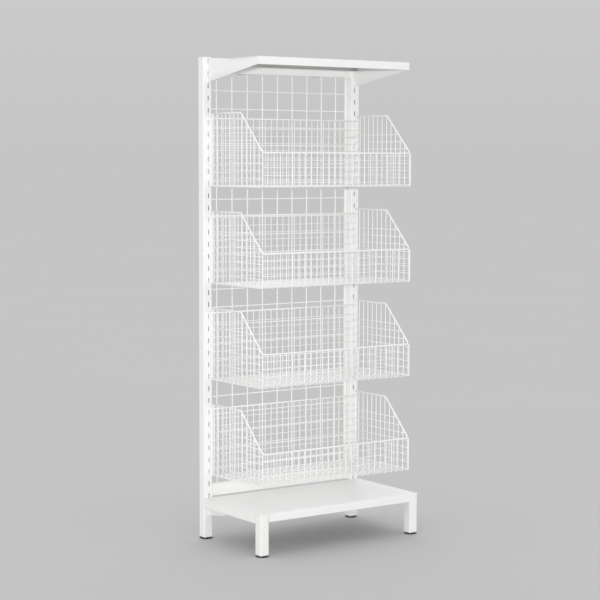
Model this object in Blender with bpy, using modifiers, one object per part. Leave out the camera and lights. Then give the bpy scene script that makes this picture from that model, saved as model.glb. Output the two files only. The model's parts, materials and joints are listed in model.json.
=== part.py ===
"""Free-standing shop display stand with hook-in wire baskets.

Two slotted square uprights and two cross rails carry an open wire grid at the
back. Four wire baskets and a sheet-metal canopy hook into the slots. The base
has a pair of front legs, side rails and a lift-off deck, and every leg ends in
a screw-in levelling foot.

Metres, +Z up, +X to the right seen from the front, front towards -Y.
Origin: on the floor, in the middle of the stand's footprint.
"""

import math

import bmesh
import bpy
from mathutils import Matrix, Vector

for old in list(bpy.data.objects):
    bpy.data.objects.remove(old, do_unlink=True)

# ----------------------------------------------------------------- dimensions
HEIGHT = 2.000            # floor to the top of the upright caps
GAP = 0.0003              # between pieces that touch

POST = 0.040              # square tube of uprights, legs and base side rails
POST_R = 0.0035           # its corner radius
WALL = 0.0015             # its wall
POST_X = 0.380            # upright and leg centre lines, left and right
POST_Y = 0.206            # upright centre line
LEG_Y = -0.214            # front leg centre line
POST_FACE = POST_Y - POST / 2

SLOT_X = 0.37635          # slot column, just inside the upright's centre line
SLOT_W, SLOT_H = 0.0043, 0.020
SLOT_PITCH = 0.050
SLOT_FIRST, SLOT_COUNT = 0.132, 38

CAP_T = 0.003             # plate of the upright's top cap
CAP_SKIRT = 0.004

RAIL_H, RAIL_D = 0.050, 0.030      # cross rails between the uprights
RAIL_TOP_Z = 1.961                 # rail centres
RAIL_BOTTOM_Z = 0.201
RAIL_Y = POST_Y + POST / 2 - RAIL_D / 2
GRID_BAR = 0.012                   # square bars beside the uprights, from rail to rail

GRID_ACROSS = 0.0768      # welded wire grid, pitch of its upright wires
GRID_RISE = 0.0750        # and of its cross wires
GRID_WIRE = 0.0045
GRID_COLS, GRID_ROWS = 11, 24
GRID_Z0 = 0.2155          # lowest cross wire
GRID_BITE = 0.0004        # how far the two wire layers melt into each other

PLATE = 0.002             # hook plates and brackets
HOOK_X = 0.3755           # their middle, in the inner half of the slots

CANOPY_TOP = 1.986
CANOPY_HALF = 0.381
CANOPY_FRONT = POST_Y - 0.391
CANOPY_REAR = POST_FACE - 0.0015
CANOPY_LIP = 0.0315
CANOPY_REAR_LIP = 0.023
CANOPY_BRACKET_LOW = 1.898         # lowest corner of the bracket, at the upright
CANOPY_EAR = 1.9945                # its highest, above the sheet beside the upright
CANOPY_EAR_FRONT = 0.018
SHEET = 0.0015

DECK_TOP = 0.173
DECK_HALF = 0.402
DECK_FRONT = LEG_Y - POST / 2 - 0.0012
DECK_REAR = POST_FACE - 0.0015
DECK_LIP = 0.0325
DECK_REAR_LIP = 0.020
LEG_TOP = DECK_TOP - SHEET - GAP

FOOT_R = 0.0265           # round levelling foot
FOOT_H = 0.006
STUD_R = 0.005
STUD_TOP = 0.056
INSERT_H = 0.026
TUBE_LOW = FOOT_H + 2 * GAP        # lower end of the uprights and legs

BASKET_FLOORS = (1.470, 1.070, 0.670, 0.270)
BASKET_HALF = 0.3742      # outer half width
BASKET_REAR = -0.040      # from the upright's centre line, forwards negative
BASKET_FRONT = -0.415
BASKET_KNEE = -0.255      # where the side's top edge starts to slope down
BASKET_SIDE_H = 0.301
BASKET_BACK_H = 0.282
BASKET_FRONT_H = 0.141
MAT = 0.0006              # plain wall that holds the wire mesh's place
ROD = 0.006               # rim rod diameter
RIM_BEND = 0.014

FLAT_TO_YZ = (math.pi / 2, 0.0, math.pi / 2)   # outline (y, z), thickness along X
FLAT_TO_XZ = (math.pi / 2, 0.0, 0.0)           # outline (x, z), thickness along -Y

# ---------------------------------------------------------------- collections
stand = bpy.data.collections.new("wire_basket_display_stand")
cutters = bpy.data.collections.new("cutters")
bpy.context.scene.collection.children.link(stand)
bpy.context.scene.collection.children.link(cutters)


# ------------------------------------------------------------------ materials
def material(name, colour, roughness, metallic):
    mat = bpy.data.materials.new(name)
    mat.use_nodes = True
    shader = mat.node_tree.nodes["Principled BSDF"]
    shader.inputs["Base Color"].default_value = (*colour, 1.0)
    shader.inputs["Roughness"].default_value = roughness
    shader.inputs["Metallic"].default_value = metallic
    return mat


FINISHES = {
    "frame": ((0.86, 0.86, 0.84), 0.42, 0.0),
    "sheet": ((0.86, 0.86, 0.85), 0.40, 0.0),
    "wire": ((0.88, 0.88, 0.87), 0.38, 0.0),
    "plug": ((0.84, 0.84, 0.83), 0.55, 0.0),
    "zinc": ((0.62, 0.63, 0.65), 0.35, 1.0),
    "black": ((0.02, 0.02, 0.021), 0.60, 0.0),
}


def place(obj, finish, parent=None, location=(0, 0, 0), rotation=(0, 0, 0)):
    obj.data.materials.clear()
    obj.data.materials.append(material(obj.name + "_finish", *FINISHES[finish]))
    stand.objects.link(obj)
    obj.parent = parent
    obj.location = location
    obj.rotation_euler = rotation
    return obj


def pivot(name, location):
    empty = bpy.data.objects.new(name, None)
    empty.empty_display_size = 0.05
    empty.location = location
    stand.objects.link(empty)
    return empty


def helper(obj):
    obj.hide_render = True
    obj.display_type = "WIRE"
    cutters.objects.link(obj)
    return obj


# --------------------------------------------------------------------- shapes
def rounded_rect(width, height, radius, steps=3):
    """Corner points of a rectangle with round corners, centred, anticlockwise."""
    points = []
    for cx, cy, start in (
        (width / 2 - radius, height / 2 - radius, 0),
        (radius - width / 2, height / 2 - radius, 90),
        (radius - width / 2, radius - height / 2, 180),
        (width / 2 - radius, radius - height / 2, 270),
    ):
        for i in range(steps + 1):
            a = math.radians(start + 90 * i / steps)
            points.append((cx + radius * math.cos(a), cy + radius * math.sin(a)))
    return points


def circle(radius, steps):
    return [
        (radius * math.cos(2 * math.pi * i / steps), radius * math.sin(2 * math.pi * i / steps))
        for i in range(steps)
    ]


def flat_piece(name, outlines, thickness):
    """A filled 2D outline, the later outlines being holes, extruded both ways."""
    curve = bpy.data.curves.new(name, "CURVE")
    curve.dimensions = "2D"
    curve.fill_mode = "BOTH"
    curve.extrude = thickness / 2
    for outline in outlines:
        spline = curve.splines.new("POLY")
        spline.points.add(len(outline) - 1)
        for point, (x, y) in zip(spline.points, outline):
            point.co = (x, y, 0.0, 1.0)
        spline.use_cyclic_u = True
    return bpy.data.objects.new(name, curve)


def as_mesh(obj):
    """The curve object as a welded mesh object of the same name."""
    name = obj.name
    bpy.context.scene.collection.objects.link(obj)
    bpy.context.view_layer.update()
    graph = bpy.context.evaluated_depsgraph_get()
    mesh = bpy.data.meshes.new_from_object(obj.evaluated_get(graph))
    bpy.data.objects.remove(obj, do_unlink=True)
    bm = bmesh.new()
    bm.from_mesh(mesh)
    bmesh.ops.remove_doubles(bm, verts=bm.verts, dist=1e-6)
    bmesh.ops.recalc_face_normals(bm, faces=bm.faces)
    bm.to_mesh(mesh)
    bm.free()
    mesh.name = name
    return bpy.data.objects.new(name, mesh)


def boxes(name, specs):
    """One mesh of separate boxes, each given as (centre, size)."""
    bm = bmesh.new()
    for centre, size in specs:
        bmesh.ops.create_cube(
            bm, size=1.0, matrix=Matrix.Translation(centre) @ Matrix.Diagonal((*size, 1.0))
        )
    mesh = bpy.data.meshes.new(name)
    bm.to_mesh(mesh)
    bm.free()
    return bpy.data.objects.new(name, mesh)


def cylinder(name, radius, length, centre, axis="Z", segments=12):
    bm = bmesh.new()
    turn = Matrix.Rotation(math.pi / 2, 4, "X") if axis == "Y" else Matrix.Identity(4)
    bmesh.ops.create_cone(
        bm, cap_ends=True, segments=segments, radius1=radius, radius2=radius, depth=length,
        matrix=Matrix.Translation(centre) @ turn,
    )
    mesh = bpy.data.meshes.new(name)
    bm.to_mesh(mesh)
    bm.free()
    return bpy.data.objects.new(name, mesh)


def boolean(obj, other, operation):
    modifier = obj.modifiers.new(operation.lower(), "BOOLEAN")
    modifier.operation = operation
    modifier.solver = "EXACT"
    modifier.object = other
    return obj


def smooth(obj, degrees=35):
    obj.data.shade_smooth()
    obj.data.set_sharp_from_angle(angle=math.radians(degrees))
    return obj


def square_tube(name, length, width=POST, height=POST):
    outer = rounded_rect(width, height, POST_R)
    inner = rounded_rect(width - 2 * WALL, height - 2 * WALL, POST_R - WALL)
    return flat_piece(name, (outer, inner), length)


def folded_sheet(name, half, front, rear, top, front_lip, rear_lip):
    """A flat sheet with a lip turned down at the front and one at the rear. Each
    lip is (drop, notch): it stops short of the sheet's ends by notch."""
    bm = bmesh.new()
    bmesh.ops.create_cube(
        bm, size=1.0,
        matrix=Matrix.Translation((0, (front + rear) / 2, top - SHEET / 2))
        @ Matrix.Diagonal((2 * half, rear - front, SHEET, 1.0)),
    )
    cuts = [((0, y, 0), (0, 1, 0)) for y in (front + SHEET, rear - SHEET)]
    for notch in sorted({front_lip[1], rear_lip[1]} - {0.0}):
        cuts += [((sign * (half - notch), 0, 0), (1, 0, 0)) for sign in (-1, 1)]
    for spot, normal in cuts:
        bmesh.ops.bisect_plane(
            bm, geom=bm.verts[:] + bm.edges[:] + bm.faces[:], plane_co=spot, plane_no=normal
        )
    for y, (drop, notch) in ((front + SHEET / 2, front_lip), (rear - SHEET / 2, rear_lip)):
        strip = [
            f for f in bm.faces
            if f.normal.z < -0.9
            and abs(f.calc_center_median().y - y) < SHEET / 2
            and abs(f.calc_center_median().x) < half - notch
        ]
        made = bmesh.ops.extrude_face_region(bm, geom=strip)["geom"]
        lower = [v for v in made if isinstance(v, bmesh.types.BMVert)]
        bmesh.ops.translate(bm, verts=lower, vec=(0, 0, SHEET - drop))
        bmesh.ops.delete(bm, geom=strip, context="FACES")
    bmesh.ops.recalc_face_normals(bm, faces=bm.faces)
    mesh = bpy.data.meshes.new(name)
    bm.to_mesh(mesh)
    bm.free()
    return bpy.data.objects.new(name, mesh)


def bent_path(corners, radius, steps=4):
    """The corner points with each inner corner rounded by an arc."""
    points = [Vector(corners[0])]
    for before, corner, after in zip(corners, corners[1:], corners[2:]):
        a = (Vector(before) - Vector(corner)).normalized()
        b = (Vector(after) - Vector(corner)).normalized()
        half = a.angle(b) / 2
        reach = radius / math.tan(half)
        centre = Vector(corner) + (a + b).normalized() * radius / math.sin(half)
        first = (Vector(corner) + a * reach - centre).normalized()
        last = (Vector(corner) + b * reach - centre).normalized()
        for i in range(steps + 1):
            points.append(centre + radius * first.slerp(last, i / steps))
    points.append(Vector(corners[-1]))
    return points


def rod(name, points, diameter):
    curve = bpy.data.curves.new(name, "CURVE")
    curve.dimensions = "3D"
    curve.bevel_depth = diameter / 2
    curve.bevel_resolution = 1
    curve.use_fill_caps = True
    spline = curve.splines.new("POLY")
    spline.points.add(len(points) - 1)
    for point, co in zip(spline.points, points):
        point.co = (*co, 1.0)
    return bpy.data.objects.new(name, curve)


def hook_edge(slots, face=-POST / 2, tab=0.011, drop=0.008):
    """Rear edge of a hook plate, going up: at each slot a tab passes through the
    upright's front wall and turns down behind it. y is from the upright's centre."""
    rear = face - 0.0005
    inner = face + WALL + 0.0005
    tip = inner + 0.0045
    edge = []
    for z in slots:
        low = z - SLOT_H / 2 + 0.0005
        edge += [
            (rear, low), (inner, low), (inner, low - drop),
            (tip, low - drop), (tip, low + tab), (rear, low + tab),
        ]
    return edge


# -------------------------------------------------------------- rear upright frame
SIDES = (("left", -1), ("right", 1))

for side, sign in SIDES:
    top = HEIGHT - CAP_T - GAP
    upright = as_mesh(square_tube(f"{side}_upright", top - TUBE_LOW))
    upright = place(upright, "frame", location=(sign * POST_X, POST_Y, (top + TUBE_LOW) / 2))
    slots = boxes(
        f"{side}_upright_slots",
        [
            ((sign * SLOT_X, POST_FACE, SLOT_FIRST + i * SLOT_PITCH), (SLOT_W, 0.010, SLOT_H))
            for i in range(SLOT_COUNT)
        ],
    )
    boolean(upright, helper(slots), "DIFFERENCE")

    cap = as_mesh(flat_piece(f"{side}_upright_cap", [rounded_rect(POST, POST, POST_R)], CAP_T))
    place(cap, "plug", location=(sign * POST_X, POST_Y, HEIGHT - CAP_T / 2))
    skirt_side = POST - 2 * WALL - 2 * GAP
    skirt = as_mesh(
        flat_piece(f"{side}_upright_cap_skirt", [rounded_rect(skirt_side, skirt_side, 0.0018)], CAP_SKIRT + 0.001)
    )
    skirt.location = (sign * POST_X, POST_Y, HEIGHT - CAP_T - CAP_SKIRT / 2 + 0.0005)
    boolean(cap, helper(skirt), "UNION")

RAIL_LENGTH = 2 * (POST_X - POST / 2 - GAP)
for name, z in (("top_cross_rail", RAIL_TOP_Z), ("bottom_cross_rail", RAIL_BOTTOM_Z)):
    rail = square_tube(name, RAIL_LENGTH, RAIL_D, RAIL_H)
    place(rail, "frame", location=(0, RAIL_Y, z), rotation=FLAT_TO_YZ)

bar_low = RAIL_BOTTOM_Z + RAIL_H / 2 + GAP
bar_high = RAIL_TOP_Z - RAIL_H / 2 - GAP
for side, sign in SIDES:
    bar = square_tube(f"{side}_grid_bar", bar_high - bar_low, GRID_BAR, GRID_BAR)
    place(
        bar, "frame",
        location=(
            sign * (POST_X - POST / 2 - GAP - GRID_BAR / 2),
            POST_Y + POST / 2 - GRID_BAR / 2,
            (bar_low + bar_high) / 2,
        ),
    )

# Back grid: cross wires lie against the uprights and bars, upright wires are welded behind.
GRID_FRONT = POST_Y + POST / 2 + GAP
grid_low = GRID_Z0 - 0.004
grid_top_wire = GRID_Z0 + (GRID_ROWS - 1) * GRID_RISE
grid_high = grid_top_wire + 0.004
grid_half = (GRID_COLS - 1) / 2 * GRID_ACROSS + 0.004
upright_wires = boxes(
    "back_grid_panel",
    [
        (
            (
                (i - (GRID_COLS - 1) / 2) * GRID_ACROSS,
                GRID_FRONT + 1.5 * GRID_WIRE - GRID_BITE,
                (grid_low + grid_high) / 2,
            ),
            (GRID_WIRE, GRID_WIRE, grid_high - grid_low),
        )
        for i in range(GRID_COLS)
    ],
)
cross_wires = boxes(
    "back_grid_cross_wires",
    [
        (
            (0, GRID_FRONT + GRID_WIRE / 2, GRID_Z0 + i * GRID_RISE),
            (2 * grid_half, GRID_WIRE, GRID_WIRE),
        )
        for i in range(GRID_ROWS)
    ],
)
boolean(place(upright_wires, "wire"), helper(cross_wires), "UNION")

# Clamps between two upright wires hold the lowest and the highest cross wire
# against the cross rails.
CLAMP_FACE = GRID_FRONT + GRID_WIRE + GAP
for row, z, away in (("top", grid_top_wire, 1), ("bottom", GRID_Z0, -1)):
    for side, sign in SIDES:
        x = sign * 2.5 * GRID_ACROSS
        screw_z = z + away * 0.014
        clamp = boxes(
            f"grid_clamp_{row}_{side}",
            [((x, CLAMP_FACE + 0.001, z + away * 0.009), (0.024, 0.002, 0.032))],
        )
        place(clamp, "zinc")
        shank_low = POST_Y + POST / 2 + GAP
        shank = cylinder(
            f"grid_clamp_{row}_{side}_stud", 0.003, CLAMP_FACE + 0.0089 - shank_low,
            (x, (CLAMP_FACE + 0.0089 + shank_low) / 2, screw_z), axis="Y",
        )
        nut = cylinder(
            f"grid_clamp_{row}_{side}_nut", 0.0055, 0.0055,
            (x, CLAMP_FACE + 0.00395, screw_z), axis="Y",
        )
        boolean(clamp, helper(shank), "UNION")
        boolean(clamp, helper(nut), "UNION")

# ---------------------------------------------------------------------- canopy
canopy = pivot("canopy_lift", (0, POST_Y, CANOPY_TOP))


def in_canopy(x=0.0, y=0.0, z=0.0):
    return (x, y - POST_Y, z - CANOPY_TOP)


tray = folded_sheet(
    "canopy_tray", CANOPY_HALF, CANOPY_FRONT, CANOPY_REAR, CANOPY_TOP,
    (CANOPY_LIP, 0.0), (CANOPY_REAR_LIP, CANOPY_HALF - 0.3735),
)
place(tray, "sheet", canopy, in_canopy())
# The sheet's rear corners are cut away where the brackets rise past it.
corners = boxes(
    "canopy_tray_corners",
    [
        ((sign * 0.380, (CANOPY_EAR_FRONT + CANOPY_REAR + 0.005) / 2, CANOPY_TOP - SHEET / 2),
         (0.012, CANOPY_REAR + 0.005 - CANOPY_EAR_FRONT, 0.006))
        for side, sign in SIDES
    ],
)
boolean(tray, helper(corners), "DIFFERENCE")

canopy_front = CANOPY_FRONT - POST_Y + SHEET + 0.001
canopy_under = CANOPY_TOP - SHEET - GAP
CANOPY_SLOTS = [SLOT_FIRST + i * SLOT_PITCH for i in (36, 37)]
for side, sign in SIDES:
    outline = [
        (canopy_front, CANOPY_TOP - CANOPY_LIP + 0.001),
        (-POST / 2 - 0.0005, CANOPY_BRACKET_LOW),
        *hook_edge(CANOPY_SLOTS),
        (-POST / 2 - 0.0005, CANOPY_EAR),
        (-0.055, CANOPY_EAR - 0.0005),
        (-0.100, CANOPY_EAR - 0.0033),
        (CANOPY_EAR_FRONT + 0.002 - POST_Y, canopy_under),
        (canopy_front, canopy_under),
    ]
    outline = [(y, z - CANOPY_TOP) for y, z in outline]
    bracket = flat_piece(f"canopy_{side}_bracket", [outline], PLATE)
    place(bracket, "sheet", canopy, (sign * HOOK_X, 0, 0), FLAT_TO_YZ)

# ------------------------------------------------------------------------ base
deck_lift = pivot("deck_lift", (0, 0, DECK_TOP))
deck_notch = DECK_HALF - (POST_X - POST / 2) + 0.0005
deck = folded_sheet(
    "base_deck", DECK_HALF, DECK_FRONT, DECK_REAR, 0.0,
    (DECK_LIP, deck_notch), (DECK_REAR_LIP, deck_notch),
)
place(deck, "sheet", deck_lift)

for side, sign in SIDES:
    leg = square_tube(f"front_{side}_leg", LEG_TOP - TUBE_LOW)
    place(leg, "frame", location=(sign * POST_X, LEG_Y, (LEG_TOP + TUBE_LOW) / 2))

    rail_front, rail_rear = LEG_Y + POST / 2 + GAP, POST_FACE - GAP
    rail = square_tube(f"{side}_base_rail", rail_rear - rail_front)
    place(
        rail, "frame",
        location=(sign * POST_X, (rail_front + rail_rear) / 2, LEG_TOP - POST / 2),
        rotation=FLAT_TO_XZ,
    )

    # Gusset under the rail's rear end, hooked into the upright's lowest slot.
    gusset_top = LEG_TOP - POST - GAP
    outline = [
        (-0.140, gusset_top - 0.015),
        (-POST / 2 - 0.0005, gusset_top - 0.031),
        *hook_edge([SLOT_FIRST], tab=0.008),
        (-POST / 2 - 0.0005, gusset_top),
        (-0.140, gusset_top),
    ]
    gusset = flat_piece(f"{side}_base_gusset", [outline], PLATE)
    place(gusset, "sheet", location=(sign * HOOK_X, POST_Y, 0), rotation=FLAT_TO_YZ)

front_rail = square_tube("front_base_rail", RAIL_LENGTH, 0.025, 0.025)
place(
    front_rail, "frame",
    location=(0, DECK_FRONT + SHEET + 0.002 + 0.0125, LEG_TOP - 0.0125),
    rotation=FLAT_TO_YZ,
)

# Levelling feet: a pad on a threaded stud that screws into a plug in the tube's end.
for place_name, x, y in (
    ("rear_left", -POST_X, POST_Y), ("rear_right", POST_X, POST_Y),
    ("front_left", -POST_X, LEG_Y), ("front_right", POST_X, LEG_Y),
):
    screw_axis = pivot(f"foot_{place_name}_screw", (x, y, 0))
    plug_side = POST - 2 * WALL - 2 * GAP
    insert = flat_piece(
        f"foot_insert_{place_name}",
        [rounded_rect(plug_side, plug_side, 0.0018, 2), circle(STUD_R + 0.0004, 12)],
        INSERT_H,
    )
    place(insert, "black", location=(x, y, TUBE_LOW + INSERT_H / 2))

    profile = [
        (0.0, FOOT_H), (FOOT_R - 0.0010, FOOT_H), (FOOT_R - 0.0002, FOOT_H - 0.0005),
        (FOOT_R, 0.0048), (FOOT_R - 0.0008, 0.0034), (FOOT_R - 0.0026, 0.0020),
        (FOOT_R - 0.0054, 0.0008), (FOOT_R - 0.0090, 0.0), (0.0, 0.0),
    ]
    mesh = bpy.data.meshes.new(f"foot_pad_{place_name}")
    mesh.from_pydata(
        [(r, 0.0, z) for r, z in profile], [(i, i + 1) for i in range(len(profile) - 1)], []
    )
    pad = bpy.data.objects.new(f"foot_pad_{place_name}", mesh)
    turn = pad.modifiers.new("turned", "SCREW")
    turn.axis = "Z"
    turn.angle = 2 * math.pi
    turn.steps = turn.render_steps = 20
    turn.use_merge_vertices = True
    turn.merge_threshold = 0.00005
    place(pad, "black", screw_axis)

    stud = cylinder(
        f"foot_stud_{place_name}", STUD_R, STUD_TOP - FOOT_H - GAP,
        (0, 0, (STUD_TOP + FOOT_H + GAP) / 2),
    )
    place(smooth(stud), "zinc", screw_axis)

# --------------------------------------------------------------------- baskets
for number, floor in enumerate(BASKET_FLOORS, start=1):
    lift = pivot(f"basket_{number}_lift", (0, POST_Y, floor))

    # Body mat: front, floor and back in one bent piece.
    bm = bmesh.new()
    mat_half = BASKET_HALF - MAT - GAP
    rim_low = BASKET_FRONT_H - ROD - 2 * GAP
    section = [
        (BASKET_FRONT, rim_low), (BASKET_FRONT, 0.0), (BASKET_REAR, 0.0), (BASKET_REAR, BASKET_BACK_H),
    ]
    line = [bm.verts.new((-mat_half, y, z)) for y, z in section]
    edges = [bm.edges.new(pair) for pair in zip(line, line[1:])]
    made = bmesh.ops.extrude_edge_only(bm, edges=edges)["geom"]
    for vert in (v for v in made if isinstance(v, bmesh.types.BMVert)):
        vert.co.x = mat_half
    bmesh.ops.recalc_face_normals(bm, faces=bm.faces)
    floor_face = min(bm.faces, key=lambda f: f.calc_center_median().z)
    if floor_face.normal.z > 0:
        bmesh.ops.reverse_faces(bm, faces=bm.faces)
    mesh = bpy.data.meshes.new(f"basket_{number}_body_mat")
    bm.to_mesh(mesh)
    bm.free()
    body = bpy.data.objects.new(f"basket_{number}_body_mat", mesh)
    wall = body.modifiers.new("wall", "SOLIDIFY")
    wall.thickness = MAT
    wall.offset = -1.0
    wall.use_even_offset = True
    place(body, "wire", lift)

    # Side mats, rim rod and hook plates.
    slope = math.atan2(BASKET_SIDE_H - BASKET_FRONT_H, BASKET_KNEE - BASKET_FRONT)
    under = ROD + 0.0012
    side_top = BASKET_SIDE_H - under
    side_front = BASKET_FRONT_H - under
    shift = under * math.tan(slope / 2)
    for side, sign in SIDES:
        outline = [
            (BASKET_FRONT, 0.0), (BASKET_REAR, 0.0), (BASKET_REAR, side_top),
            (BASKET_KNEE + shift, side_top), (BASKET_FRONT, side_front),
        ]
        mat = flat_piece(f"basket_{number}_{side}_mat", [outline], MAT)
        place(mat, "wire", lift, (sign * (BASKET_HALF - MAT / 2), 0, 0), FLAT_TO_YZ)

        low_slot = min(
            (SLOT_FIRST + i * SLOT_PITCH for i in range(SLOT_COUNT)),
            key=lambda z: abs(z - floor - 0.012),
        )
        slots = [low_slot - floor, low_slot - floor + 5 * SLOT_PITCH]
        outline = [
            (-0.047, 0.001), (-POST / 2 - 0.0005, 0.001),
            *hook_edge(slots),
            (-POST / 2 - 0.0005, BASKET_BACK_H), (-0.047, BASKET_BACK_H),
        ]
        plate = flat_piece(f"basket_{number}_{side}_hook", [outline], PLATE)
        place(plate, "wire", lift, (sign * HOOK_X, 0, 0), FLAT_TO_YZ)

    x = BASKET_HALF - ROD / 2
    rear, knee, front = BASKET_REAR, BASKET_KNEE, BASKET_FRONT + ROD / 2
    high, low = BASKET_SIDE_H - ROD / 2, BASKET_FRONT_H - ROD / 2
    corners = [
        (-x, rear, high), (-x, knee, high), (-x, front, low),
        (x, front, low), (x, knee, high), (x, rear, high),
    ]
    place(rod(f"basket_{number}_rim", bent_path(corners, RIM_BEND), ROD), "wire", lift)
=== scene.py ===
"""Looks of the wire basket display stand: welded wire, folded sheet, slotted tube
and moulded feet around the fixed frame, with a pale floor and soft studio light."""

import json
import math

import bmesh
import bpy
import numpy as np
from mathutils import Matrix, Vector


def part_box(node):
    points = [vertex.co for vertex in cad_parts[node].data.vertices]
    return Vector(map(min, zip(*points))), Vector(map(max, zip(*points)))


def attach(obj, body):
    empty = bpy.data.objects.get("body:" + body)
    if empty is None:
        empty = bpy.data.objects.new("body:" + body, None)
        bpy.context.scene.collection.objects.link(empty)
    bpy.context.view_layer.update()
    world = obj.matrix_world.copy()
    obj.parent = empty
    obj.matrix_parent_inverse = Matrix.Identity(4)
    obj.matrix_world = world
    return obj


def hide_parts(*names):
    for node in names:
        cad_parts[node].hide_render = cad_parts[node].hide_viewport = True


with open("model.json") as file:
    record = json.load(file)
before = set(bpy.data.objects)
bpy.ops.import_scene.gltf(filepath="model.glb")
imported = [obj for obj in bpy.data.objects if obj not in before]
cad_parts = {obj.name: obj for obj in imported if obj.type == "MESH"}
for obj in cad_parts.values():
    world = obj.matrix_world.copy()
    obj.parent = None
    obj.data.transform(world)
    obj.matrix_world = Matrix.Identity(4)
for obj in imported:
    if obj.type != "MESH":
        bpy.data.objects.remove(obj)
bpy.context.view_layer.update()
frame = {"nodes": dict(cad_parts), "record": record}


scene = bpy.context.scene

# ------------------------------------------------------------------ sizes (m)
POST, POST_R, WALL = 0.040, 0.0035, 0.0015
POST_X, POST_Y, LEG_Y = 0.380, 0.206, -0.214
POST_FACE = POST_Y - POST / 2
SLOT_X, SLOT_W, SLOT_H = 0.37635, 0.0043, 0.020
SLOT_PITCH, SLOT_FIRST, SLOT_COUNT = 0.050, 0.132, 38
HEIGHT = 2.000
SHEET = 0.0015
BASKET_FLOORS = (1.470, 1.070, 0.670, 0.270)
BASKET_HALF, BASKET_REAR, BASKET_FRONT, BASKET_KNEE = 0.3742, -0.040, -0.415, -0.255
BASKET_SIDE_H, BASKET_BACK_H, BASKET_FRONT_H = 0.301, 0.282, 0.141
WIRE = 0.0036            # basket mesh, wires that run up the walls
CROSS_WIRE = 0.0028      # and the thinner ones across them
EDGE_WIRE = 0.0042       # upright wires at the basket's four corners
ROD = 0.006              # basket rim rod
RIM_BEND = 0.014
GRID_ACROSS, GRID_RISE, GRID_WIRE = 0.0768, 0.0750, 0.0045
GRID_COLS, GRID_ROWS, GRID_Z0 = 11, 24, 0.2155
SIDES = (("left", -1), ("right", 1))


# ------------------------------------------------------------------ materials
def nodes_of(name):
    mat = bpy.data.materials.new(name)
    mat.use_nodes = True
    tree = mat.node_tree
    return mat, tree, tree.nodes["Principled BSDF"]


def noise(tree, coords, scale, detail=2.0, rough=0.5, stretch=None):
    tex = tree.nodes.new("ShaderNodeTexNoise")
    tex.inputs["Scale"].default_value = scale
    tex.inputs["Detail"].default_value = detail
    tex.inputs["Roughness"].default_value = rough
    if stretch:
        mapping = tree.nodes.new("ShaderNodeMapping")
        mapping.inputs["Scale"].default_value = stretch
        tree.links.new(coords, mapping.inputs["Vector"])
        coords = mapping.outputs["Vector"]
    tree.links.new(coords, tex.inputs["Vector"])
    return tex.outputs["Fac"]


def ramp(tree, value, low, high, a, b):
    """value between low and high becomes a to b."""
    node = tree.nodes.new("ShaderNodeMapRange")
    node.inputs["From Min"].default_value = low
    node.inputs["From Max"].default_value = high
    node.inputs["To Min"].default_value = a
    node.inputs["To Max"].default_value = b
    tree.links.new(value, node.inputs["Value"])
    return node.outputs["Result"]


def blend_colour(tree, factor, a, b):
    node = tree.nodes.new("ShaderNodeMix")
    node.data_type = "RGBA"
    tree.links.new(factor, node.inputs["Factor"])
    for socket, colour in ((node.inputs[6], a), (node.inputs[7], b)):
        if hasattr(colour, "links"):
            tree.links.new(colour, socket)
        else:
            socket.default_value = (*colour, 1.0)
    return node.outputs[2]


def bump(tree, shader, layers):
    """layers of (height, strength, distance), the last one on top."""
    normal = None
    for height, strength, distance in layers:
        node = tree.nodes.new("ShaderNodeBump")
        node.inputs["Strength"].default_value = strength
        node.inputs["Distance"].default_value = distance
        tree.links.new(height, node.inputs["Height"])
        if normal is not None:
            tree.links.new(normal, node.inputs["Normal"])
        normal = node.outputs["Normal"]
    tree.links.new(normal, shader.inputs["Normal"])


def powder_coat(name, colour, shade, roughness, peel=0.16):
    """Baked powder paint: faint cloudiness, orange peel and uneven gloss."""
    mat, tree, shader = nodes_of(name)
    coords = tree.nodes.new("ShaderNodeTexCoord").outputs["Object"]
    clouds = ramp(tree, noise(tree, coords, 7.0, 4.0, 0.6), 0.32, 0.68, 0.0, 1.0)
    base = blend_colour(tree, clouds, shade, colour)
    specks = ramp(tree, noise(tree, coords, 420.0, 1.0), 0.74, 0.80, 0.0, 0.35)
    base = blend_colour(tree, specks, base, tuple(0.86 * c for c in shade))
    tree.links.new(base, shader.inputs["Base Color"])
    gloss = ramp(tree, noise(tree, coords, 28.0, 3.0), 0.3, 0.7, roughness - 0.05, roughness + 0.06)
    tree.links.new(gloss, shader.inputs["Roughness"])
    bump(tree, shader, [
        (noise(tree, coords, 26.0, 1.0), 0.05, 0.002),
        (noise(tree, coords, 640.0, 2.0), peel, 0.00025),
    ])
    shader.inputs["Specular IOR Level"].default_value = 0.42
    return mat


def moulded_plastic(name, colour, shade, roughness, grain=0.3):
    mat, tree, shader = nodes_of(name)
    coords = tree.nodes.new("ShaderNodeTexCoord").outputs["Object"]
    clouds = ramp(tree, noise(tree, coords, 60.0, 4.0, 0.6), 0.35, 0.68, 0.0, 1.0)
    tree.links.new(blend_colour(tree, clouds, shade, colour), shader.inputs["Base Color"])
    gloss = ramp(tree, noise(tree, coords, 180.0, 2.0), 0.3, 0.7, roughness - 0.08, roughness + 0.08)
    tree.links.new(gloss, shader.inputs["Roughness"])
    bump(tree, shader, [(noise(tree, coords, 1500.0, 2.0), grain, 0.0002)])
    return mat


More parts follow.
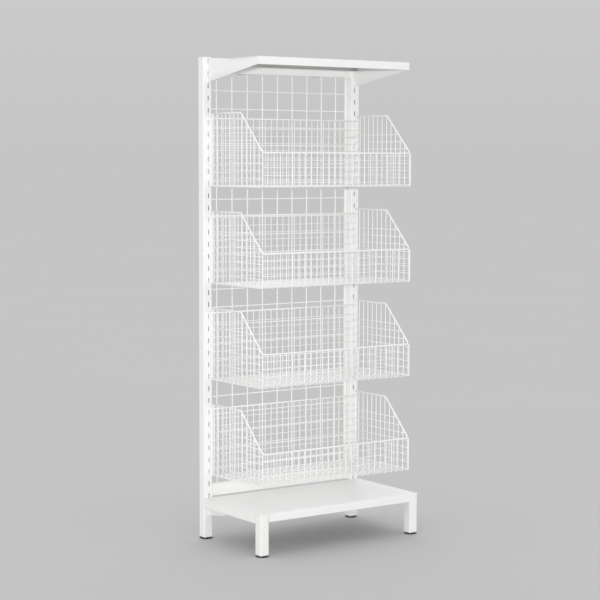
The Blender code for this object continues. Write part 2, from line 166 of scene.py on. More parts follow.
def zinc_plate(name):
    mat, tree, shader = nodes_of(name)
    coords = tree.nodes.new("ShaderNodeTexCoord").outputs["Object"]
    clouds = ramp(tree, noise(tree, coords, 90.0, 5.0, 0.65), 0.35, 0.66, 0.0, 1.0)
    tree.links.new(
        blend_colour(tree, clouds, (0.50, 0.51, 0.53), (0.70, 0.71, 0.72)), shader.inputs["Base Color"]
    )
    gloss = ramp(tree, noise(tree, coords, 240.0, 3.0), 0.3, 0.7, 0.28, 0.46)
    tree.links.new(gloss, shader.inputs["Roughness"])
    shader.inputs["Metallic"].default_value = 1.0
    bump(tree, shader, [(noise(tree, coords, 900.0, 2.0, stretch=(1.0, 1.0, 0.15)), 0.12, 0.0002)])
    return mat


FRAME_PAINT = powder_coat("frame_paint", (0.866, 0.858, 0.842), (0.842, 0.834, 0.817), 0.40)
SHEET_PAINT = powder_coat("sheet_paint", (0.860, 0.860, 0.856), (0.840, 0.840, 0.834), 0.38)
WIRE_PAINT = powder_coat("wire_paint", (0.890, 0.890, 0.884), (0.868, 0.868, 0.860), 0.36, peel=0.10)
CAP_PLASTIC = moulded_plastic("cap_plastic", (0.82, 0.82, 0.80), (0.78, 0.78, 0.76), 0.50, 0.20)
BLACK = moulded_plastic("black_plastic", (0.050, 0.050, 0.052), (0.036, 0.036, 0.038), 0.50)
ZINC = zinc_plate("zinc_steel")
SLOTS = {
    "frame_paint": FRAME_PAINT, "sheet_paint": SHEET_PAINT, "wire_paint": WIRE_PAINT,
    "cap_plastic": CAP_PLASTIC, "black_plastic": BLACK, "zinc_steel": ZINC,
}


# ------------------------------------------------------------------- geometry
class Soup:
    """Vertices and faces of one piece, gathered from many closed shapes."""

    def __init__(self):
        self.verts, self.faces = [], []

    def add(self, verts, faces):
        start = len(self.verts)
        self.verts += [tuple(map(float, v)) for v in verts]
        self.faces += [tuple(start + i for i in face) for face in faces]
        return self


def piece(name, soup, body, slot, replaces=(), smooth=40.0, weld=False):
    """Makes an object of a Soup or a ready mesh, and ties it to its body."""
    if isinstance(soup, Soup):
        mesh = bpy.data.meshes.new(name)
        mesh.from_pydata(soup.verts, [], soup.faces)
        bm = bmesh.new()
        bm.from_mesh(mesh)
        if weld:
            bmesh.ops.remove_doubles(bm, verts=bm.verts, dist=1e-6)
        bmesh.ops.recalc_face_normals(bm, faces=bm.faces)
        bm.to_mesh(mesh)
        bm.free()
    else:
        mesh = soup
        mesh.name = name
    mesh.shade_smooth()
    mesh.set_sharp_from_angle(angle=math.radians(smooth))
    mesh.materials.clear()
    mesh.materials.append(SLOTS[slot])
    obj = bpy.data.objects.new(name, mesh)
    scene.collection.objects.link(obj)
    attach(obj, body)
    if replaces:
        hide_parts(*replaces)
    return obj


def tube(points, radius, sides=8, closed=False, lumps=None):
    """A round wire along the points, with slightly rounded ends."""
    p = np.array(points, float)
    n = len(p)
    radii = np.full(n, radius) if lumps is None else np.array([radius * v for v in lumps])
    if not closed:
        first, last = p[1] - p[0], p[-2] - p[-1]
        first, last = first / np.linalg.norm(first), last / np.linalg.norm(last)
        nose = 0.38 * radius
        p = np.vstack([p[:1], p[:1] + nose * first, p[1:-1], p[-1:] + nose * last, p[-1:]])
        radii = np.concatenate([[0.6 * radius], radii, [0.6 * radius]])
        n = len(p)
    step = np.diff(np.vstack([p, p[:1]]) if closed else p, axis=0)
    step /= np.linalg.norm(step, axis=1)[:, None]
    if closed:
        tangent = step + np.roll(step, 1, axis=0)
    else:
        tangent = np.vstack([step[:1], step[:-1] + step[1:], step[-1:]])
    tangent /= np.linalg.norm(tangent, axis=1)[:, None]
    side = np.cross(tangent[0], (0.0, 0.0, 1.0))
    if np.linalg.norm(side) < 0.2:
        side = np.cross(tangent[0], (0.0, 1.0, 0.0))
    side /= np.linalg.norm(side)
    angle = 2 * np.pi * (np.arange(sides) + 0.5) / sides
    verts = []
    for i in range(n):
        side = side - tangent[i] * (side @ tangent[i])
        side /= np.linalg.norm(side)
        up = np.cross(tangent[i], side)
        ring = p[i] + radii[i] * (np.cos(angle)[:, None] * side + np.sin(angle)[:, None] * up)
        verts += list(ring)
    faces = []
    for i in range(n if closed else n - 1):
        a, b = i * sides, ((i + 1) % n) * sides
        for k in range(sides):
            j = (k + 1) % sides
            faces.append((a + k, a + j, b + j, b + k))
    if not closed:
        faces.append(tuple(range(sides - 1, -1, -1)))
        faces.append(tuple(range((n - 1) * sides, n * sides)))
    return verts, faces


def bent_path(corners, radius, steps=6):
    """The corner points with each inner corner rounded by an arc."""
    points = [Vector(corners[0])]
    for before, corner, after in zip(corners, corners[1:], corners[2:]):
        corner = Vector(corner)
        a = (Vector(before) - corner).normalized()
        b = (Vector(after) - corner).normalized()
        half = a.angle(b) / 2
        reach = radius / math.tan(half)
        centre = corner + (a + b).normalized() * radius / math.sin(half)
        first = (corner + a * reach - centre).normalized()
        last = (corner + b * reach - centre).normalized()
        for i in range(steps + 1):
            points.append(centre + radius * first.slerp(last, i / steps))
    points.append(Vector(corners[-1]))
    return points


def rounded_rect(width, height, radius, steps=5, support=0.0005):
    """Outline with round corners. A support point beside each arc keeps flats flat."""
    points = []
    for cx, cy, start in (
        (width / 2 - radius, height / 2 - radius, 0),
        (radius - width / 2, height / 2 - radius, 90),
        (radius - width / 2, radius - height / 2, 180),
        (width / 2 - radius, radius - height / 2, 270),
    ):
        a, b = math.radians(start), math.radians(start + 90)
        points.append((
            cx + radius * math.cos(a) + support * math.sin(a),
            cy + radius * math.sin(a) - support * math.cos(a),
        ))
        for i in range(steps + 1):
            t = a + (b - a) * i / steps
            points.append((cx + radius * math.cos(t), cy + radius * math.sin(t)))
        points.append((
            cx + radius * math.cos(b) - support * math.sin(b),
            cy + radius * math.sin(b) + support * math.cos(b),
        ))
    return points


def rings(loops, closed=False, caps=True):
    """Skin over loops that all hold the same number of points."""
    n = len(loops[0])
    verts = [v for loop in loops for v in loop]
    faces = []
    for i in range(len(loops) if closed else len(loops) - 1):
        a, b = i * n, ((i + 1) % len(loops)) * n
        for k in range(n):
            j = (k + 1) % n
            faces.append((a + k, a + j, b + j, b + k))
    if caps and not closed:
        faces.append(tuple(range(n - 1, -1, -1)))
        faces.append(tuple(range((len(loops) - 1) * n, len(loops) * n)))
    return verts, faces


AXES = {
    "Z": lambda u, v, w: (u, v, w),
    "X": lambda u, v, w: (w, u, v),
    "Y": lambda u, v, w: (u, w, v),
}


def square_tube(centre, low, high, axis="Z", width=POST, height=POST, radius=POST_R, chamfer=0.0005):
    """Hollow tube with round corners and broken edges at its ends. centre is the
    two coordinates across the axis, low and high the ends along it."""
    def loop(grow, w, inner=False):
        base = rounded_rect(
            width - 2 * grow, height - 2 * grow, max(radius - grow, 0.0008)
        )
        return [AXES[axis](centre[0] + u, centre[1] + v, w) for u, v in base]

    loops = [
        loop(0.0, low + chamfer), loop(0.0, high - chamfer), loop(chamfer, high),
        loop(WALL, high), loop(WALL, low), loop(chamfer, low),
    ]
    return rings(loops, closed=True)


def fillet(outline, radius, steps=3, only=None):
    """Closed 2D outline with its corners rounded, as far as the sides allow."""
    out = []
    n = len(outline)
    for i, corner in enumerate(outline):
        c = Vector(corner)
        a, b = Vector(outline[i - 1]) - c, Vector(outline[(i + 1) % n]) - c
        r = radius[i] if isinstance(radius, (list, tuple)) else radius
        if r <= 0 or (only is not None and i not in only):
            out.append((c.x, c.y))
            continue
        half = a.angle(b) / 2
        if half > math.radians(88):
            out.append((c.x, c.y))
            continue
        reach = min(r / math.tan(half), 0.45 * a.length, 0.45 * b.length)
        r = reach * math.tan(half)
        a, b = a.normalized(), b.normalized()
        centre = c + (a + b).normalized() * r / math.sin(half)
        first, last = (c + a * reach - centre).normalized(), (c + b * reach - centre).normalized()
        turn = first.angle_signed(last)
        for k in range(steps + 1):
            t = -turn * k / steps
            spin = Vector((
                first.x * math.cos(t) - first.y * math.sin(t),
                first.x * math.sin(t) + first.y * math.cos(t),
            ))
            point = centre + r * spin
            out.append((point.x, point.y))
    return out


def plate_mesh(outline, low, high, axis="X", bevel=0.0004):
    """A flat plate cut to an outline, its edges slightly rounded."""
    bm = bmesh.new()
    verts = [bm.verts.new(AXES[axis](u, v, low)) for u, v in outline]
    face = bm.faces.new(verts)
    made = bmesh.ops.extrude_face_region(bm, geom=[face])["geom"]
    shift = Vector(AXES[axis](0, 0, high - low))
    bmesh.ops.translate(bm, verts=[v for v in made if isinstance(v, bmesh.types.BMVert)], vec=shift)
    bmesh.ops.recalc_face_normals(bm, faces=bm.faces)
    way = Vector(AXES[axis](0, 0, 1))
    edges = [
        e for e in bm.edges
        if len(e.link_faces) == 2
        and any(abs(f.normal.dot(way)) > 0.9 for f in e.link_faces)
        and any(abs(f.normal.dot(way)) < 0.1 for f in e.link_faces)
    ]
    if bevel:
        bmesh.ops.bevel(
            bm, geom=edges, offset=bevel, offset_type="OFFSET", segments=2, profile=0.6,
            affect="EDGES", clamp_overlap=True,
        )
    bmesh.ops.recalc_face_normals(bm, faces=bm.faces)
    mesh = bpy.data.meshes.new("plate")
    bm.to_mesh(mesh)
    bm.free()
    return mesh


def hook_edge(slots, face=-POST / 2, tab=0.011, drop=0.008):
    """Rear edge of a hook plate, going up: at each slot a tab passes through the
    upright's front wall and turns down behind it."""
    rear, inner = face - 0.0005, face + WALL + 0.0005
    tip = inner + 0.0045
    edge = []
    for z in slots:
        low = z - SLOT_H / 2 + 0.0005
        edge += [
            (rear, low), (inner, low), (inner, low - drop),
            (tip, low - drop), (tip, low + tab), (rear, low + tab),
        ]
    return edge


def lathe(profile, centre, segments=40):
    """Turned shape: profile of (radius, z) from the top's middle to the bottom's."""
    verts, faces = [], []
    rows = []
    for r, z in profile:
        if r < 1e-7:
            rows.append([len(verts)])
            verts.append((centre[0], centre[1], centre[2] + z))
            continue
        row = []
        for k in range(segments):
            a = 2 * math.pi * k / segments
            row.append(len(verts))
            verts.append((centre[0] + r * math.cos(a), centre[1] + r * math.sin(a), centre[2] + z))
        rows.append(row)
    for top, low in zip(rows, rows[1:]):
        for k in range(segments):
            j = (k + 1) % segments
            if len(top) == 1 and len(low) == 1:
                continue
            if len(top) == 1:
                faces.append((top[0], low[k], low[j]))
            elif len(low) == 1:
                faces.append((top[k], low[0], top[j]))
            else:
                faces.append((top[k], low[k], low[j], top[j]))
    return verts, faces


def mesh_of(soup):
    mesh = bpy.data.meshes.new("work")
    mesh.from_pydata(soup.verts, [], soup.faces)
    bm = bmesh.new()
    bm.from_mesh(mesh)
    bmesh.ops.recalc_face_normals(bm, faces=bm.faces)
    bm.to_mesh(mesh)
    bm.free()
    return mesh


def cut(mesh, cutter):
    """mesh with the closed shapes of the cutter taken out of it."""
    a, b = bpy.data.objects.new("work_a", mesh), bpy.data.objects.new("work_b", cutter)
    for obj in (a, b):
        scene.collection.objects.link(obj)
    modifier = a.modifiers.new("cut", "BOOLEAN")
    modifier.operation, modifier.solver, modifier.object = "DIFFERENCE", "EXACT", b
    bpy.context.view_layer.update()
    graph = bpy.context.evaluated_depsgraph_get()
    result = bpy.data.meshes.new_from_object(a.evaluated_get(graph))
    for obj in (a, b):
        bpy.data.objects.remove(obj, do_unlink=True)
    return result


def box_shape(low, high):
    (x0, y0, z0), (x1, y1, z1) = low, high
    verts = [(x, y, z) for z in (z0, z1) for y in (y0, y1) for x in (x0, x1)]
    faces = [(0, 2, 3, 1), (4, 5, 7, 6), (0, 1, 5, 4), (2, 6, 7, 3), (0, 4, 6, 2), (1, 3, 7, 5)]
    return verts, faces


def folded_sheet(half, front, rear, top, front_lip, rear_lip, flange=0.0, bend=0.0026):
    """Sheet with a lip bent down at the front and at the rear, made as one section
    with round bends, then notched where a lip stops short of the sheet's end. A flange
    is the rear lip's lower edge bent forwards again."""
    (front_drop, front_notch), (rear_drop, rear_notch) = front_lip, rear_lip
    t, edge, support = SHEET, 0.0004, 0.0004

    def arc(cy, cz, r, a0, a1, steps=6):
        return [
            (cy + r * math.cos(math.radians(a0 + (a1 - a0) * i / steps)),
             cz + r * math.sin(math.radians(a0 + (a1 - a0) * i / steps)))
            for i in range(steps + 1)
        ]

    fy, fz = front + bend, top - bend
    ry, rz = rear - bend, top - bend
    inner = bend - t
    section = [(front, top - front_drop + edge)]
    section += [(front, fz - support)] + arc(fy, fz, bend, 180, 90) + [(fy + support, top)]
    section += [(ry - support, top)] + arc(ry, rz, bend, 90, 0) + [(rear, rz - support)]
    low = top - rear_drop
    if flange:
        tip = rear - flange
        section += [(rear, low + bend + support)] + arc(ry, low + bend, bend, 0, -90) + [(ry - support, low)]
        section += [(tip + edge, low), (tip, low + edge), (tip, low + t - edge), (tip + edge, low + t)]
        section += [(ry - support, low + t)] + arc(ry, low + bend, inner, -90, 0, 4)
        section += [(rear - t, low + bend + support)]
    else:
        section += [(rear, low + edge), (rear - edge, low)]
        section += [(rear - t + edge, low), (rear - t, low + edge)]
    section += [(rear - t, rz - support)] + arc(ry, rz, inner, 0, 90, 4) + [(ry - support, top - t)]
    section += [(fy + support, top - t)] + arc(fy, fz, inner, 90, 180, 4) + [(front + t, fz - support)]
    section += [(front + t, top - front_drop + edge), (front + t - edge, top - front_drop)]
    section += [(front + edge, top - front_drop)]
    loops = [[(x, y, z) for y, z in section] for x in (-half, half)]
    mesh = mesh_of(Soup().add(*rings(loops)))
    notches = Soup()
    for y0, y1, drop, notch in (
        (front - 0.002, front + bend + 0.001, front_drop, front_notch),
        (rear - max(bend, flange) - 0.001, rear + 0.002, rear_drop, rear_notch),
    ):
        if notch:
            for sign in (-1, 1):
                x0, x1 = sorted((sign * (half - notch), sign * (half + 0.002)))
                notches.add(*box_shape((x0, y0, top - drop - 0.002), (x1, y1, top - t)))
    return cut(mesh, mesh_of(notches)) if notches.verts else mesh


def weld_bead(loop, radius=0.0014, step=0.0022):
    """A row of overlapping weld ripples along a closed loop of points."""
    points = []
    n = len(loop)
    for i in range(n):
        a, b = Vector(loop[i]), Vector(loop[(i + 1) % n])
        count = max(1, round((b - a).length / step))
        points += [a.lerp(b, k / count) for k in range(count)]
    lumps = [1.0 + 0.16 * math.sin(2.3 * i) + 0.06 * math.sin(0.37 * i) for i in range(len(points))]
    return tube(points, radius, sides=6, closed=True, lumps=lumps)


def thread(centre, low, high, radius, pitch=0.0015, depth=0.0009, segments=18, per_turn=6, axis="Z"):
    """A screw thread: rings whose radius follows the helix, with plain ends."""
    count = int((high - low - 0.003) / pitch * per_turn)
    levels = [low] + list(np.linspace(low + 0.0015, high - 0.0015, count)) + [high]
    loops = []
    for i, w in enumerate(levels):
        loop = []
        for k in range(segments):
            a = 2 * math.pi * k / segments
            phase = ((w - low) / pitch - k / segments) % 1.0
            dip = depth * abs(2 * phase - 1)
            r = radius - (depth if i in (0, len(levels) - 1) else dip)
            loop.append(AXES[axis](centre[0] + r * math.cos(a), centre[1] + r * math.sin(a), w))
        loops.append(loop)
    return rings(loops)


# -------------------------------------------------------------------- uprights
def slot_hole(x, z, y0, y1, corner=0.0008, steps=4):
    """A punched slot, its corners as round as the punch's."""
    u, v = SLOT_W / 2 - corner, SLOT_H / 2 - corner
    outline = []
    for cx, cz, start in ((u, v, 0), (-u, v, 90), (-u, -v, 180), (u, -v, 270)):
        for i in range(steps + 1):
            a = math.radians(start + 90 * i / steps)
            outline.append((x + cx + corner * math.cos(a), z + cz + corner * math.sin(a)))
    return rings([[(p, y, q) for p, q in outline] for y in (y0, y1)])


for side, sign in SIDES:
    low, high = (v.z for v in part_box(f"{side}_upright"))
    body = mesh_of(Soup().add(*square_tube((sign * POST_X, POST_Y), low, high)))
    punch = Soup()
    for i in range(SLOT_COUNT):
        punch.add(*slot_hole(sign * SLOT_X, SLOT_FIRST + i * SLOT_PITCH, POST_FACE - 0.004, POST_FACE + 0.006))
    piece(f"{side}_upright_tube", cut(body, mesh_of(punch)), "frame", "frame_paint", [f"{side}_upright"])

    # End cap: a moulded lid with a softened top edge and its skirt inside the tube.
    def lid(grow, z):
        return [
            (sign * POST_X + u, POST_Y + v, z)
            for u, v in rounded_rect(POST - 2 * grow, POST - 2 * grow, max(POST_R - grow, 0.0012))
        ]
    bottom = HEIGHT - 0.003
    loops = [
        lid(0.0021, bottom - 0.004), lid(0.0018, bottom - 0.0035), lid(0.0018, bottom),
        lid(0.0002, bottom), lid(0.0, bottom + 0.0003), lid(0.0, HEIGHT - 0.0013),
        lid(0.0002, HEIGHT - 0.0007), lid(0.0006, HEIGHT - 0.0003), lid(0.0012, HEIGHT - 0.00005),
        lid(0.0022, HEIGHT),
    ]
    piece(f"{side}_upright_lid", Soup().add(*rings(loops)), "frame", "cap_plastic", [f"{side}_upright_cap"])

# ----------------------------------------------------------------- cross rails
for name in ("top_cross_rail", "bottom_cross_rail"):
    lo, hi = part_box(name)
    soup = Soup()
    centre = ((lo.y + hi.y) / 2, (lo.z + hi.z) / 2)
    size = (hi.y - lo.y, hi.z - lo.z)
    soup.add(*square_tube(centre, lo.x, hi.x, "X", *size))
    for x in (lo.x, hi.x):
        soup.add(*weld_bead([(x, centre[0] + u, centre[1] + v) for u, v in rounded_rect(*size, POST_R, 4)]))
    piece(f"{name}_tube", soup, "frame", "frame_paint", [name])

# Square bars beside the uprights, welded to the rails at both ends.
for side, sign in SIDES:
    lo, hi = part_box(f"{side}_grid_bar")
    centre, width = ((lo.x + hi.x) / 2, (lo.y + hi.y) / 2), hi.x - lo.x
    soup = Soup().add(*square_tube(centre, lo.z, hi.z, "Z", width, width, 0.0030))
    for z in (lo.z, hi.z):
        loop = [(centre[0] + 0.97 * u, centre[1] + 0.97 * v, z) for u, v in rounded_rect(width, width, 0.003, 4)]
        soup.add(*weld_bead(loop, 0.0009))
    piece(f"{side}_grid_bar_tube", soup, "frame", "frame_paint", [f"{side}_grid_bar"])

# ------------------------------------------------------------------- back grid
grid_lo, grid_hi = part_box("back_grid_panel")
front_y = grid_lo.y + GRID_WIRE / 2
rear_y = grid_hi.y - GRID_WIRE / 2
soup = Soup()
for i in range(GRID_COLS):
    x = (i - (GRID_COLS - 1) / 2) * GRID_ACROSS
    soup.add(*tube([(x, rear_y, grid_lo.z), (x, rear_y, grid_hi.z)], GRID_WIRE / 2, 12))
for i in range(GRID_ROWS):
    z = GRID_Z0 + i * GRID_RISE
    soup.add(*tube([(grid_lo.x, front_y, z), (grid_hi.x, front_y, z)], GRID_WIRE / 2, 12))
piece("back_grid_wires", soup, "frame", "wire_paint", ["back_grid_panel"])

# Clamps: a steel strip on a welded stud, held by a hexagon nut.
for row, wire_z, away in (("top", GRID_Z0 + (GRID_ROWS - 1) * GRID_RISE, 1), ("bottom", GRID_Z0, -1)):
    for side, sign in SIDES:
        name = f"grid_clamp_{row}_{side}"
        lo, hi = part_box(name)
        cx, z = (lo.x + hi.x) / 2, wire_z + away * 0.014
        plate_y = grid_lo.y + GRID_WIRE + 0.0003
        outline = fillet([(lo.x, lo.z), (hi.x, lo.z), (hi.x, hi.z), (lo.x, hi.z)], 0.004, 5)
        mesh = plate_mesh(outline, plate_y, plate_y + 0.002, "Y", 0.0004)
        piece(f"{name}_strip", mesh, "frame", "zinc_steel", [name])

        def hexagon(r, y, turn=0.26):
            corners = [turn + i * math.pi / 3 for i in range(6)]
            return [(cx + r * math.cos(a), y, z + r * math.sin(a)) for a in corners]
        seat, crown = plate_y + 0.002, plate_y + 0.0067
        soup = Soup().add(*rings([
            hexagon(0.0050, seat - 0.0002), hexagon(0.0055, seat + 0.0003), hexagon(0.0055, crown - 0.0006),
            hexagon(0.0049, crown - 0.0001), hexagon(0.0040, crown),
        ]))
        soup.add(*thread((cx, z), lo.y, hi.y, 0.003, pitch=0.0010, depth=0.0006, axis="Y"))
        piece(f"{name}_nut", soup, "frame", "zinc_steel", smooth=50)

# ---------------------------------------------------------------------- canopy
lo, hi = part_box("canopy_tray")
EAR_FRONT, SHEET_UNDER, FASCIA_LOW = 0.018, hi.z - SHEET - 0.0003, lo.z
mesh = folded_sheet(hi.x, lo.y, hi.y, hi.z, (hi.z - lo.z, 0.0), (0.0230, hi.x - 0.3735), flange=0.016)
corners = Soup()
for side, sign in SIDES:
    x0, x1 = sorted((sign * 0.3740, sign * 0.3860))
    corners.add(*box_shape((x0, EAR_FRONT, hi.z - 0.004), (x1, hi.y + 0.005, hi.z + 0.002)))
piece("canopy_sheet", cut(mesh, mesh_of(corners)), "canopy", "sheet_paint", ["canopy_tray"], smooth=30)
canopy_slots = [SLOT_FIRST + i * SLOT_PITCH for i in (36, 37)]
for side, sign in SIDES:
    lo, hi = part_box(f"canopy_{side}_bracket")
    front, rear = lo.y, POST_FACE - 0.0005
    outline = [
        (front, FASCIA_LOW + 0.001), (rear, lo.z),
        *[(POST_Y + y, z) for y, z in hook_edge(canopy_slots)],
        (rear, hi.z), (POST_Y - 0.055, hi.z - 0.0005), (POST_Y - 0.100, hi.z - 0.0033),
        (EAR_FRONT + 0.002, SHEET_UNDER), (front, SHEET_UNDER),
    ]
    radii = [0.004, 0.006] + [0.0] * 12 + [0.002, 0.02, 0.03, 0.006, 0.001]
    for first in (2, 8):
        radii[first + 2] = radii[first + 3] = 0.0015
        radii[first + 4] = 0.002
    mesh = plate_mesh(fillet(outline, radii, 4), lo.x, hi.x, "X", 0.0005)
    piece(f"canopy_{side}_plate", mesh, "canopy", "sheet_paint", [f"canopy_{side}_bracket"])

# ------------------------------------------------------------------------ base
lo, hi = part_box("base_deck")
notch = hi.x - (POST_X - POST / 2) + 0.0005
mesh = folded_sheet(hi.x, lo.y, hi.y, hi.z, (hi.z - lo.z, notch), (0.020, notch))
piece("base_deck_sheet", mesh, "deck", "sheet_paint", ["base_deck"], smooth=30)

for side, sign in SIDES:
    lo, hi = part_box(f"front_{side}_leg")
    piece(
        f"front_{side}_leg_tube",
        Soup().add(*square_tube((sign * POST_X, LEG_Y), lo.z, hi.z)),
        "frame", "frame_paint", [f"front_{side}_leg"],
    )
    lo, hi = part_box(f"{side}_base_rail")
    centre = ((lo.x + hi.x) / 2, (lo.z + hi.z) / 2)
    soup = Soup().add(*square_tube(centre, lo.y, hi.y, "Y"))
    for y in (lo.y, hi.y):
        # The bead is ground flush on top, where the deck lies.
        top = POST / 2 - 0.0013
        loop = [
            (centre[0] + 0.985 * u, y, centre[1] + min(0.985 * v, top))
            for u, v in rounded_rect(POST, POST, POST_R, 4)
        ]
        soup.add(*weld_bead(loop, 0.0009))
    piece(f"{side}_base_rail_tube", soup, "frame", "frame_paint", [f"{side}_base_rail"])

    lo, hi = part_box(f"{side}_base_gusset")
    rear = POST_Y - POST / 2 - 0.0005
    outline = [
        (lo.y, hi.z - 0.015), (rear, hi.z - 0.031),
        *[(POST_Y + y, z) for y, z in hook_edge([SLOT_FIRST], tab=0.008)],
        (rear, hi.z), (lo.y, hi.z),
    ]
    radii = [0.006, 0.004, 0, 0, 0.0015, 0.0015, 0.002, 0, 0.0, 0.001]
    mesh = plate_mesh(fillet(outline, radii, 4), lo.x, hi.x, "X", 0.0005)
    piece(f"{side}_base_gusset_plate", mesh, "frame", "frame_paint", [f"{side}_base_gusset"])

lo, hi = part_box("front_base_rail")
piece(
    "front_base_rail_tube",
    Soup().add(*square_tube(((lo.y + hi.y) / 2, (lo.z + hi.z) / 2), lo.x, hi.x, "X", hi.y - lo.y, hi.z - lo.z)),
    "frame", "frame_paint", ["front_base_rail"],
)


# ------------------------------------------------------------- levelling feet
FEET = (
    ("rear_left", -POST_X, POST_Y), ("rear_right", POST_X, POST_Y),
    ("front_left", -POST_X, LEG_Y), ("front_right", POST_X, LEG_Y),
)
for name, x, y in FEET:
    lo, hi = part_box(f"foot_pad_{name}")
    r, h = (hi.x - lo.x) / 2, hi.z
    profile = [
        (0.0, h), (0.0120, h), (0.0124, h - 0.0003), (0.0136, h - 0.0003), (0.0140, h),
        (r - 0.0014, h), (r - 0.0009, h - 0.0001), (r - 0.0005, h - 0.0003), (r - 0.0001, h - 0.0007),
        (r, 0.0049), (r - 0.0002, 0.0042), (r - 0.0007, 0.0035), (r - 0.0014, 0.0028), (r - 0.0024, 0.0021),
        (r - 0.0037, 0.0014), (r - 0.0053, 0.0008), (r - 0.0070, 0.0003), (r - 0.0082, 0.0001), (r - 0.0092, 0.0),
        (0.0150, 0.0), (0.0146, 0.0004), (0.0, 0.0004),
    ]
    piece(f"foot_pad_{name}_moulding", Soup().add(*lathe(profile, (x, y, 0.0))), f"foot_{name}", "black_plastic", [f"foot_pad_{name}"])
    lo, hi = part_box(f"foot_stud_{name}")
    piece(
        f"foot_stud_{name}_thread", Soup().add(*thread((x, y), lo.z, hi.z, 0.005)),
        f"foot_{name}", "zinc_steel", [f"foot_stud_{name}"], smooth=50,
    )
    insert = frame["nodes"][f"foot_insert_{name}"]
    insert.data.materials.clear()
    insert.data.materials.append(BLACK)


# --------------------------------------------------------------------- baskets
def rim_height(y):
    """Height of the rim rod's middle above the basket's floor, at depth y."""
    high, low = BASKET_SIDE_H - ROD / 2, BASKET_FRONT_H - ROD / 2
    front = BASKET_FRONT + ROD / 2
    if y >= BASKET_KNEE:
        return high
    return high - (high - low) * (BASKET_KNEE - y) / (BASKET_KNEE - front)


def rim_reach(z):
    """How far forward a side wire at height z runs before it meets the rim."""
    high, low = BASKET_SIDE_H - ROD / 2, BASKET_FRONT_H - ROD / 2
    front = BASKET_FRONT + ROD / 2
    if z <= low:
        return front
    return BASKET_KNEE - (BASKET_KNEE - front) * (high - z) / (high - low)


def basket_shapes():
    """Wire mesh and rods of one basket, y from the upright's centre, z from its floor."""
    r, c, bite = WIRE / 2, CROSS_WIRE / 2, 0.0003
    outer_x = BASKET_HALF - r
    inner_x = outer_x - r - c + bite
    front, rear = BASKET_FRONT + r, BASKET_REAR - r
    inner_front, inner_rear = front + r + c - bite, rear - r - c + bite
    floor, inner_floor = r, 2 * r + c - bite
    mesh, rods = Soup(), Soup()

    # Wires bent down the front, along the floor and up the back.
    edge = EDGE_WIRE / 2
    across = [(0.3709 - 0.02995 * k, r) for k in range(1, 25)]
    across += [(-(BASKET_HALF - edge), edge), (BASKET_HALF - edge, edge)]
    for x, radius in across:
        inset = radius - r
        path = bent_path([
            (x, front + inset, BASKET_FRONT_H - ROD / 2 - 0.0006),
            (x, front + inset, floor + inset), (x, rear - inset, floor + inset),
            (x, rear - inset, BASKET_BACK_H - ROD / 2),
        ], 0.005, 5)
        mesh.add(*tube(path, radius, 10 if radius > r else 8))

    # Cross wires: front, floor and back.
    for z in (0.019, 0.049, 0.079, 0.109):
        mesh.add(*tube([(-outer_x, inner_front, z), (outer_x, inner_front, z)], c))
    depth_cells = 12
    for j in range(1, depth_cells):
        y = rear + (front - rear) * j / depth_cells
        mesh.add(*tube([(-outer_x, y, inner_floor), (outer_x, y, inner_floor)], c))
    for k in range(8):
        z = 0.028 + 0.030 * k
        mesh.add(*tube([(-outer_x, inner_rear, z), (outer_x, inner_rear, z)], c))

    # Side wires: uprights outside, cross wires inside.
    for sign, first, pitch in ((-1, -0.387, 0.0301), (1, -0.065, -0.0309)):
        for j in range(12):
            y = first + pitch * j
            mesh.add(*tube([(sign * outer_x, y, 0.0004), (sign * outer_x, y, rim_height(y))], r))
        for k in range(8):
            z = 0.007 + 0.030 * k
            mesh.add(*tube([(sign * inner_x, rear, z), (sign * inner_x, rim_reach(z) - 0.001, z)], c))

    x = BASKET_HALF - ROD / 2
    high, low = BASKET_SIDE_H - ROD / 2, BASKET_FRONT_H - ROD / 2
    fy = BASKET_FRONT + ROD / 2
    corners = [
        (-x, BASKET_REAR, high), (-x, BASKET_KNEE, high), (-x, fy, low),
        (x, fy, low), (x, BASKET_KNEE, high), (x, BASKET_REAR, high),
    ]
    rods.add(*tube(bent_path(corners, RIM_BEND, 8), ROD / 2, 14))
    back = BASKET_REAR - ROD / 2
    rods.add(*tube([
        (-BASKET_HALF, back, BASKET_BACK_H - ROD / 2), (BASKET_HALF, back, BASKET_BACK_H - ROD / 2),
    ], ROD / 2, 14))
    # Short posts at the rear corners carry the rim down to the back rod and floor.
    for sign in (-1, 1):
        rods.add(*tube([(sign * x, back, 0.0006), (sign * x, back, high)], 0.0025, 12))
    return mesh, rods


